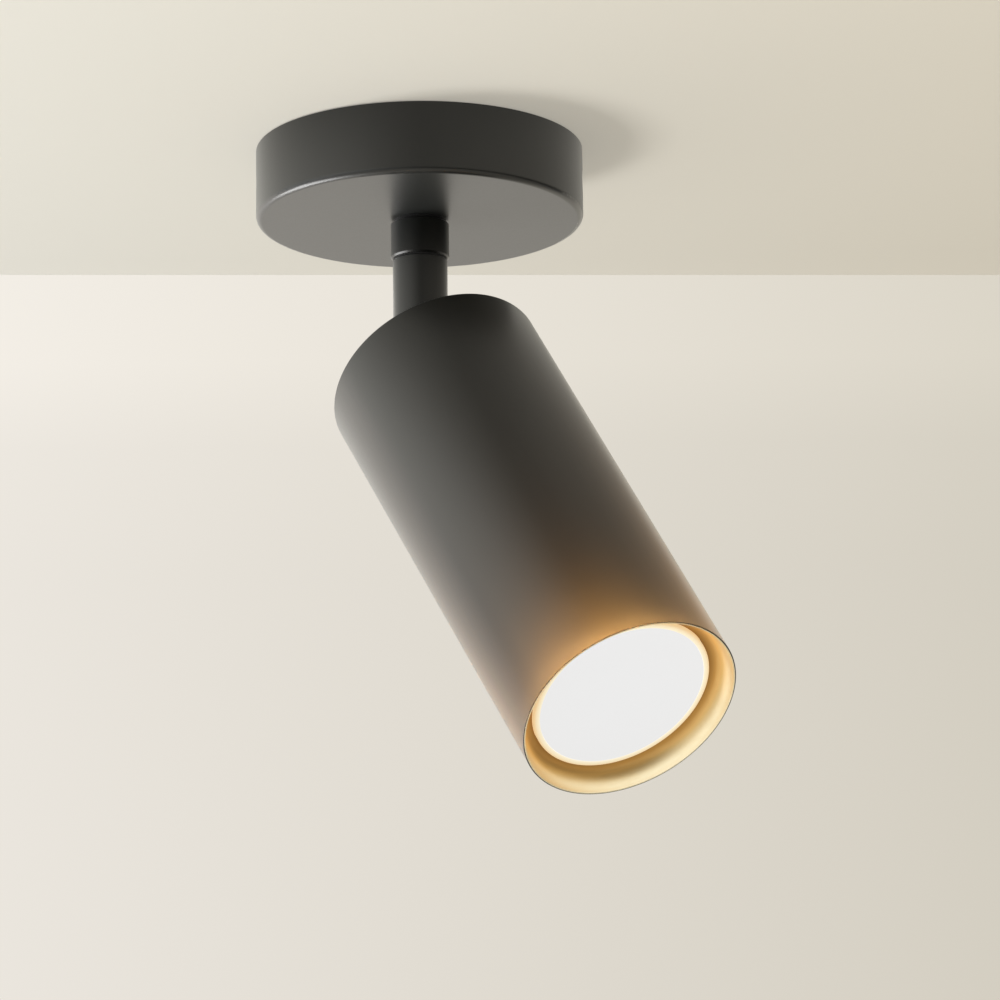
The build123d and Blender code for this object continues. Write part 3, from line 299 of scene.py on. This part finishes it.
def glowing_bezel(name, matrix):
    """Translucent ring lit from within, cream at the diffuser and amber at its outer edge."""
    s = Shade(name)
    where = s.place(matrix)
    across = s.grey(s.radius(where), 0.0, 1.0, (LAMP_RADIUS - BEZEL_WIDTH) * MM, LAMP_RADIUS * MM)
    grain = s.noise(where, 0.6 * MM, 2.0)
    s.set(Base_Color=s.ramp(grain, (0.3, (0.26, 0.19, 0.11)), (0.7, (0.31, 0.23, 0.14))))
    s.set(Emission_Color=s.ramp(across, *BEZEL_GLOW), Emission_Strength=BEZEL_LIGHT)
    s.set(Roughness=s.grey(grain, 0.30, 0.42))
    s.bump((grain, 0.010 * MM))
    return s.mat


def metal(name, colour, roughness, stain=0.0):
    """Metal with fine drawn lines and a little staining."""
    s = Shade(name)
    where = s.place()
    lines = s.noise(s.stretched(where, (1.0, 1.0, 12.0)), 1.2 * MM, 4.0, 0.6)
    cloud = s.noise(where, 6 * MM, 3.0)
    s.set(Base_Color=s.tint(cloud, colour, 0.85 - stain, 1.08))
    s.set(Metallic=1.0, Roughness=s.around(lines, roughness, 0.07, 0.09))
    s.bump((lines, 0.008 * MM))
    return s.mat


def moulded(name, colour, roughness, subsurface=0.0, light=0.0):
    """Moulded plastic or pressed ceramic with a slight grain, and lit from within if it has light."""
    s = Shade(name)
    where = s.place()
    grain = s.noise(where, 0.5 * MM, 2.0)
    cloud = s.noise(where, 7 * MM, 3.0)
    s.set(Base_Color=s.tint(cloud, colour, 0.93, 1.04))
    s.set(Roughness=s.around(grain, roughness, 0.05, 0.06))
    s.set(Subsurface_Weight=subsurface, Subsurface_Radius=(2 * MM, 1.5 * MM, 1 * MM))
    if light:
        s.set(Emission_Color=(1.0, 1.0, 1.0, 1), Emission_Strength=light)
    s.bump((grain, 0.012 * MM))
    return s.mat


materials = {
    "anthracite_paint": paint("anthracite_paint", PAINT, 1.0, HEAD_SHEEN),
    "anthracite_aluminium": paint("anthracite_aluminium", PAINT, 1.0, HEAD_SHEEN),
    "black_screw": metal("black_screw", (0.10, 0.10, 0.105), 0.38),
    "black_plastic": moulded("black_plastic", (0.016, 0.016, 0.017), 0.5),
    "zinc_steel": metal("zinc_steel", (0.66, 0.66, 0.63), 0.32, stain=0.08),
    "spring_steel": metal("spring_steel", (0.33, 0.33, 0.35), 0.3, stain=0.1),
    "white_plastic": moulded("white_plastic", (0.80, 0.80, 0.76), 0.42, 0.1),
    "brass": metal("brass", (0.80, 0.58, 0.26), 0.27, stain=0.1),
    "tinned_copper": metal("tinned_copper", (0.72, 0.66, 0.58), 0.3, stain=0.1),
    "brown_silicone": moulded("brown_silicone", (0.13, 0.052, 0.026), 0.55),
    "blue_silicone": moulded("blue_silicone", (0.03, 0.11, 0.38), 0.55),
    "green_silicone": moulded("green_silicone", (0.10, 0.36, 0.06), 0.55),
    "ceramic": moulded("ceramic", (0.84, 0.82, 0.75), 0.6, 0.15),
    "gold_anodised": anodised_with_painted_light("gold_anodised", HEAD),
    "frosted_clear": glowing_bezel("frosted_clear", HEAD),
    "lit_diffuser": moulded("lit_diffuser", (0.05, 0.05, 0.05), 0.5, light=DIFFUSER_LIGHT),
    "lamp_board": moulded("lamp_board", (0.80, 0.81, 0.77), 0.45),
    "white_lamp_shell": moulded("white_lamp_shell", (0.82, 0.82, 0.79), 0.38, 0.1),
    "nickel_pins": metal("nickel_pins", (0.70, 0.67, 0.60), 0.24),
}
slots = {part["node"]: part["material_slot"] for part in frame["record"]["subparts"]}
for node, obj in frame["nodes"].items():
    obj.data.materials.clear()
    obj.data.materials.append(materials[slots[node]])
# The collar's darker paint is painted shade.
collar_paint_painted_shade = paint("collar_paint_painted_shade", COLLAR_PAINT_PAINTED_SHADE, COLLAR_COAT, COLLAR_SHEEN)
canopy_paint = paint("canopy_paint", PAINT, 1.0, CANOPY_SHEEN, CANOPY_COAT_IOR)
frame["nodes"]["collar"].data.materials[0] = collar_paint_painted_shade
frame["nodes"]["canopy_cup"].data.materials[0] = canopy_paint


# ---- Smooth pieces that stand for CAD nodes ----
def arc(centre, radii, start, end, steps):
    """Points of an elliptical arc in (radius, height), angles in degrees."""
    points = []
    for i in range(steps + 1):
        angle = radians(start + (end - start) * i / steps)
        points.append((centre[0] + radii[0] * cos(angle), centre[1] + radii[1] * sin(angle)))
    return points


def lathe(name, outline, slot, body, stands_for, segments=192, sharp=40.0):
    """Turns a closed outline of (radius, height) points about the head's axis, as a smooth piece."""
    mesh = bpy.data.meshes.new(name)
    bm = bmesh.new()
    rings = []
    for radius, height in outline:
        ring = []
        for i in range(segments):
            angle = 2 * pi * i / segments
            point = Vector((radius * cos(angle), radius * sin(angle), height)) * MM
            ring.append(bm.verts.new(HEAD @ point))
        rings.append(ring)
    for a, b in zip(rings, rings[1:] + rings[:1]):
        for i in range(segments):
            j = (i + 1) % segments
            bm.faces.new((a[i], a[j], b[j], b[i]))
    bmesh.ops.recalc_face_normals(bm, faces=bm.faces)
    for face in bm.faces:
        face.smooth = True
    for edge in bm.edges:
        edge.smooth = edge.calc_face_angle(0.0) < radians(sharp)
    bm.to_mesh(mesh)
    bm.free()
    obj = bpy.data.objects.new(name, mesh)
    scene.collection.objects.link(obj)
    mesh.materials.append(materials[slot])
    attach(obj, body)
    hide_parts(stands_for)
    return obj


def tube_outline():
    """The head's tube with its rebates for the cap and the trim ring, its back edge rounded."""
    cap_seat = BACK_Z - CAP_THICKNESS
    trim_seat = FRONT_Z + TRIM_DEPTH
    back, rim = HEAD_RADIUS - BACK_RIM, HEAD_RADIUS - FRONT_RIM
    bore = HEAD_RADIUS - HEAD_WALL
    back_edge = arc((HEAD_RADIUS - BACK_ROUND, BACK_Z - BACK_ROUND), (BACK_ROUND, BACK_ROUND), 0, 90, 8)
    inside = [(back, BACK_Z), (back, cap_seat), (bore, cap_seat),
              (bore, trim_seat), (rim, trim_seat), (rim, FRONT_Z)]
    front_edge = arc((HEAD_RADIUS - FRONT_ROUND, FRONT_Z + FRONT_ROUND), (FRONT_ROUND, FRONT_ROUND), -90, 0, 4)
    return back_edge + inside + front_edge


def trim_outline():
    """Thin rounded lip, then one concave sweep down to the flange beside the lamp."""
    hole = LAMP_RADIUS + LAMP_GAP
    bead = LIP_OUTER - LIP_RADIUS
    sweep_depth = TRIM_FLANGE_DEPTH + FRONT_Z - LIP_TOP_Z
    over_lip = arc((bead, LIP_TOP_Z), (LIP_RADIUS, LIP_TOP_Z - LIP_END_Z), 0, -180, 8)
    sweep = arc((hole, LIP_TOP_Z), (bead - LIP_RADIUS - hole, sweep_depth), 0, 90, 28)
    back_z = FRONT_Z + TRIM_DEPTH
    return over_lip + sweep[1:] + [(hole, back_z), (TRIM_OUTER, back_z), (TRIM_OUTER, LIP_TOP_Z)]


def bezel_outline():
    """Ring with a rounded outer edge and a slight dome."""
    inner, outer = LAMP_RADIUS - BEZEL_WIDTH, LAMP_RADIUS
    back_z = FACE_Z + BEZEL_DEPTH
    front = arc((outer - BEZEL_ROUND, FACE_Z + BEZEL_ROUND), (BEZEL_ROUND, BEZEL_ROUND), 0, -90, 8)
    return front + [(inner, FACE_Z + BEZEL_DOME), (inner, back_z), (outer, back_z)]


tube = lathe("head_tube_smooth", tube_outline(), "anthracite_paint", "head", "head_tube", segments=256)
trim = lathe("trim_ring_smooth", trim_outline(), "gold_anodised", "head", "trim_ring")
lathe("lamp_bezel_smooth", bezel_outline(), "frosted_clear", "lamp", "lamp_bezel")


# ---- Stage sheets ----
def linear(*srgb):
    return tuple(((c / 255 + 0.055) / 1.055) ** 2.4 for c in srgb)


def level(brightness):
    return (brightness,) * 3


def sheet(name, corners, material):
    """Flat stage sheet from four corners, its front on the side that they run anticlockwise."""
    mesh = bpy.data.meshes.new(name)
    mesh.from_pydata([Vector(c) for c in corners], [], [(0, 1, 2, 3)])
    obj = bpy.data.objects.new(name, mesh)
    scene.collection.objects.link(obj)
    mesh.materials.append(material)
    return obj


def glow(s, colour, strength):
    node = s.add("ShaderNodeEmission")
    s.join(colour, node.inputs["Color"])
    if isinstance(strength, float):
        node.inputs["Strength"].default_value = strength
    else:
        s.join(strength, node.inputs["Strength"])
    return node.outputs[0]


def self_lit(s, colour, matte_share):
    """Surface that glows at its own colour, mixed with a lit matte one that takes the shadow."""
    matte = s.add("ShaderNodeBsdfDiffuse")
    s.join(colour, matte.inputs["Color"])
    return s.mix(matte_share, glow(s, colour, 1.0), matte.outputs[0])


def mirrored(s, front, colour, where, start, end, stops):
    """Shows mirror rays a sheet whose brightness changes along X, as large studio lights beside it would."""
    halves = [(place, level(brightness / 2)) for place, brightness in stops]
    strength = s.math("MULTIPLY", s.gradient(where, "X", start, end, *halves), 2.0)
    is_glossy = s.add("ShaderNodeLightPath").outputs["Is Glossy Ray"]
    return s.mix(is_glossy, front, glow(s, colour, strength))


def see_through_back(s, front):
    """Shows the front of a sheet only, and lets every ray through its back."""
    backfacing = s.add("ShaderNodeNewGeometry").outputs["Backfacing"]
    clear = s.add("ShaderNodeBsdfTransparent").outputs[0]
    s.join(s.mix(backfacing, front, clear), s.out.inputs["Surface"])


def multiplied(s, first, second):
    node = s.add("ShaderNodeMix", data_type="RGBA", blend_type="MULTIPLY")
    node.inputs["Factor"].default_value = 1.0
    s.join(first, node.inputs["A"])
    s.join(second, node.inputs["B"])
    return node.outputs["Result"]


CEILING_Z = 0.0003
CEILING_FRONT = -0.30
CEILING_EDGE = ((-2.0, 0.0380), (2.0, 0.1979))
CEILING_MATTE = 0.62
CEILING_LEFT, CEILING_RIGHT = linear(238, 236, 228), linear(226, 219, 203)
CEILING_MIRRORED = ((0.0, 2.1), (0.435, 1.85), (0.652, 1.35), (0.761, 0.92), (0.87, 0.48), (1.0, 0.68))
WALL_Y = 0.9
WALL_LEFT_X, WALL_RIGHT_X = -3, 1.2
WALL_END_Z = 1.5
WALL_PALE_Z = 0.20  # where the wall is palest, under the ceiling's edge as the camera sees it
WALL_MATTE = 0.0
WALL_LEFT, WALL_RIGHT = linear(245, 240, 232), linear(217, 211, 197)
WALL_MIRRORED = ((0.0, 1.8), (0.3, 1.6), (0.6, 1.2), (0.8, 1.1), (1.0, 1.45))
FLOOR_Z = -1.3
FLOOR_REACH = 3
FLOOR_MATTE = 0.6
FLOOR_LEFT, FLOOR_RIGHT = linear(226, 221, 212), linear(216, 210, 199)

s = Shade("stage_ceiling")
where = s.place()
# Painted light: the ceiling is paler to the left and towards the front, darker to the right and further back,
# as the light falls on it.
across = s.gradient(where, "X", -0.16, 0.20, (0.0, CEILING_LEFT), (1.0, CEILING_RIGHT))
inward = s.gradient(where, "Y", -0.13, 0.10, (0.0, level(1.0)), (1.0, level(0.865)))
colour = multiplied(s, across, inward)
front = self_lit(s, colour, CEILING_MATTE)
see_through_back(s, mirrored(s, front, colour, where, -0.40, 0.06, CEILING_MIRRORED))
(left_x, left_y), (right_x, right_y) = CEILING_EDGE
ceiling = sheet("ceiling", [(left_x, left_y, CEILING_Z), (right_x, right_y, CEILING_Z),
                            (right_x, CEILING_FRONT, CEILING_Z), (left_x, CEILING_FRONT, CEILING_Z)], s.mat)

s = Shade("stage_wall")
where = s.place()
# Painted light: the wall is paler to the left and just under the ceiling's edge, darker to the right and lower
# down, as the light falls on it.
across = s.gradient(where, "X", -0.22, 0.27, (0.0, WALL_LEFT), (1.0, WALL_RIGHT))
upward = s.gradient(where, "Z", WALL_PALE_Z - 0.09, WALL_PALE_Z,
                    (0.0, level(0.92)), (0.6, level(0.94)), (1.0, level(1.0)))
colour = multiplied(s, across, upward)
front = self_lit(s, colour, WALL_MATTE)
see_through_back(s, mirrored(s, front, colour, where, -1.4, 0.5, WALL_MIRRORED))
sheet("wall", [(WALL_LEFT_X, WALL_Y, FLOOR_Z), (WALL_RIGHT_X, WALL_Y, FLOOR_Z),
               (WALL_RIGHT_X, WALL_Y, WALL_END_Z), (WALL_LEFT_X, WALL_Y, WALL_END_Z)], s.mat)

s = Shade("stage_floor")
# Painted light: the floor is a little paler to the left than to the right, as the light falls on it.
colour = s.gradient(s.place(), "X", -1.0, 1.0, (0.0, FLOOR_LEFT), (1.0, FLOOR_RIGHT))
see_through_back(s, self_lit(s, colour, FLOOR_MATTE))
sheet("floor", [(-FLOOR_REACH, -FLOOR_REACH, FLOOR_Z), (FLOOR_REACH, -FLOOR_REACH, FLOOR_Z),
                (FLOOR_REACH, WALL_Y, FLOOR_Z), (-FLOOR_REACH, WALL_Y, FLOOR_Z)], s.mat)

# ---- World: pale to the camera, and dimmer in front of the object than behind it and to its left ----
BRIGHT_SIDE = (-0.82, 0.52, -0.20)
AMBIENT_COLOUR = (0.965, 1.0, 1.0, 1)
AMBIENT_DARK, AMBIENT_BRIGHT = 0.04, 1.25
MIRRORED_AMBIENT = 0.85
SEEN_COLOUR = linear(226, 222, 212)

world = bpy.data.worlds.new("studio")
world.use_nodes = True
scene.world = world
sky = Nodes(world.node_tree)
sky.tree.nodes.clear()
toward = sky.add("ShaderNodeVectorMath", operation="DOT_PRODUCT")
toward.inputs[1].default_value = BRIGHT_SIDE
sky.join(sky.add("ShaderNodeTexCoord").outputs["Generated"], toward.inputs[0])
brightness = sky.grey(toward.outputs["Value"], AMBIENT_DARK, AMBIENT_BRIGHT, -0.75, 0.85, "SMOOTHSTEP")
path = sky.add("ShaderNodeLightPath")
dimmer = sky.math("MULTIPLY_ADD", path.outputs["Is Glossy Ray"], MIRRORED_AMBIENT - 1.0, 1.0)
ambient = sky.add("ShaderNodeBackground")
ambient.inputs["Color"].default_value = AMBIENT_COLOUR
sky.join(sky.math("MULTIPLY", brightness, dimmer), ambient.inputs["Strength"])
seen = sky.add("ShaderNodeBackground")
seen.inputs["Color"].default_value = (*SEEN_COLOUR, 1)
lit_world = sky.mix(path.outputs["Is Camera Ray"], ambient.outputs[0], seen.outputs[0])
sky.join(lit_world, sky.add("ShaderNodeOutputWorld").inputs["Surface"])


# ---- Studio lamps ----
def softbox(name, place, target, size, power, colour=(1.0, 1.0, 1.0), shape="RECTANGLE"):
    data = bpy.data.lights.new(name, "AREA")
    data.shape = shape
    data.size, data.size_y = size
    data.energy = power
    data.color = colour
    obj = bpy.data.objects.new(name, data)
    scene.collection.objects.link(obj)
    obj.location = place
    obj.rotation_mode = "QUATERNION"
    obj.rotation_quaternion = (Vector(target) - Vector(place)).to_track_quat("-Z", "Y")
    obj.visible_camera = False
    return obj


def link_light(light, receivers, blockers=None, state="INCLUDE"):
    """Lets a lamp light only some objects, or all but some, and lets only some of them cast its shadow."""
    for kind, objects in (("receiver", receivers), ("blocker", blockers)):
        if objects is None:
            continue
        group = bpy.data.collections.new(f"{light.name}_{kind}s")
        for obj in objects:
            group.objects.link(obj)
        for entry in group.collection_objects:
            entry.light_linking.link_state = state if kind == "receiver" else "INCLUDE"
        setattr(light.light_linking, f"{kind}_collection", group)


KEY_AT = (-0.95, 0.36, -1.05)
KEY_SIZE, KEY_POWER = (0.90, 0.90), 20.0
SHADOW_KEY_SIZE, SHADOW_KEY_POWER = (0.55, 0.55), 12.0

key = softbox("key", KEY_AT, (0, 0, 0), KEY_SIZE, KEY_POWER)
link_light(key, [ceiling, trim], state="EXCLUDE")
shadow_key = softbox("shadow_key", KEY_AT, (0, 0, 0), SHADOW_KEY_SIZE, SHADOW_KEY_POWER)
canopy_nodes = [frame["nodes"][n] for n in frame["record"]["behaviour"]["bodies"]["canopy"]]
link_light(shadow_key, [ceiling], canopy_nodes)

# ---- Light of the lit lamp, in the head's frame; sizes are in metres, places in millimetres ----
LAMP_LIGHT = 0.0016
LAMP_LIGHT_SIZE = (0.046, 0.046)
LAMP_LIGHT_COLOUR = (1.0, 0.97, 0.88)
VIEWER_SIDE = -52.7  # direction from the head's axis to the camera, in degrees

# Spill round the rim onto the head's side: each lamp's turn from the viewer's side and power,
# then what the set shares.
WIDE_SPILL = ((-55.0, 0.006), (-20.0, 0.080), (16.0, 0.078), (56.0, 0.009))
WIDE_SPILL_SET = {"colour": (1.0, 0.43, 0.10), "size": (0.024, 0.016),
                  "radius": 46.0, "front": 1.0, "target": 9.0}
NEAR_SPILL = ((-66.0, 0.0006), (-44.0, 0.0080), (-22.0, 0.0120), (0.0, 0.0150),
              (22.0, 0.0140), (44.0, 0.0080), (66.0, 0.0022))
NEAR_SPILL_SET = {"colour": (1.0, 0.52, 0.19), "size": (0.013, 0.003),
                  "radius": 33.8, "front": 0.8, "target": 1.6}


def ride_light(obj, body):
    """A stage lamp that stays with a body, such as the light of the lamp itself."""
    obj.parent = frame["bodies"][body]


def head_point(x, y, z):
    return HEAD @ (Vector((x, y, z)) * MM)


def rim_glow(name, turned, power, colour, size, radius, front, target):
    """One lamp of the light that spills round the rim onto the side of the head towards the viewer."""
    angle = radians(VIEWER_SIDE + turned)
    outward = Vector((cos(angle), sin(angle), 0))
    glow_at = head_point(*(outward * radius + Vector((0, 0, FRONT_Z - front))))
    glow_to = head_point(*(outward * HEAD_RADIUS + Vector((0, 0, FRONT_Z + target))))
    halo = softbox(name, glow_at, glow_to, size, power, colour)
    back = (glow_at - glow_to).normalized()
    along = HEAD.to_3x3() @ Vector((-sin(angle), cos(angle), 0))
    halo.rotation_quaternion = Matrix((along, back.cross(along), back)).transposed().to_quaternion()
    halo.visible_glossy = False
    link_light(halo, [tube])
    ride_light(halo, "head")


beam = softbox("lamp_light", head_point(0, 0, FACE_Z - 0.4), head_point(0, 0, FACE_Z - 100),
               LAMP_LIGHT_SIZE, LAMP_LIGHT, LAMP_LIGHT_COLOUR, "DISK")
ride_light(beam, "lamp")
for number, (turned, power) in enumerate(WIDE_SPILL, 1):
    rim_glow(f"rim_glow_{number}", turned, power, **WIDE_SPILL_SET)
for number, (turned, power) in enumerate(NEAR_SPILL, 1):
    rim_glow(f"near_glow_{number}", turned, power, **NEAR_SPILL_SET)

# ---- Camera: the photograph's place, direction and roll, in millimetres, degrees and pixels ----
IMAGE = 1000
FOCAL_PX = 6719.83
SENSOR = 36.0
CAMERA_AT = (21.18, -1766.77, -570.12)
CAMERA_UP = 14.9138
CAMERA_ROLL = -0.6631

camera_data = bpy.data.cameras.new("camera")
camera_data.sensor_width = SENSOR
camera_data.lens = FOCAL_PX / IMAGE * SENSOR
camera_data.clip_start, camera_data.clip_end = 0.05, 20
camera = bpy.data.objects.new("camera", camera_data)
scene.collection.objects.link(camera)
scene.camera = camera
ahead = Vector((0, cos(radians(CAMERA_UP)), sin(radians(CAMERA_UP))))
right = Vector((1, 0, 0))
up = right.cross(ahead)
roll = radians(CAMERA_ROLL)
image_right = right * cos(roll) + up * sin(roll)
image_up = up * cos(roll) - right * sin(roll)
turn = Matrix((image_right, image_up, -ahead)).transposed().to_4x4()
camera.matrix_world = Matrix.Translation(Vector(CAMERA_AT) * MM) @ turn

scene.view_settings.view_transform = "Standard"
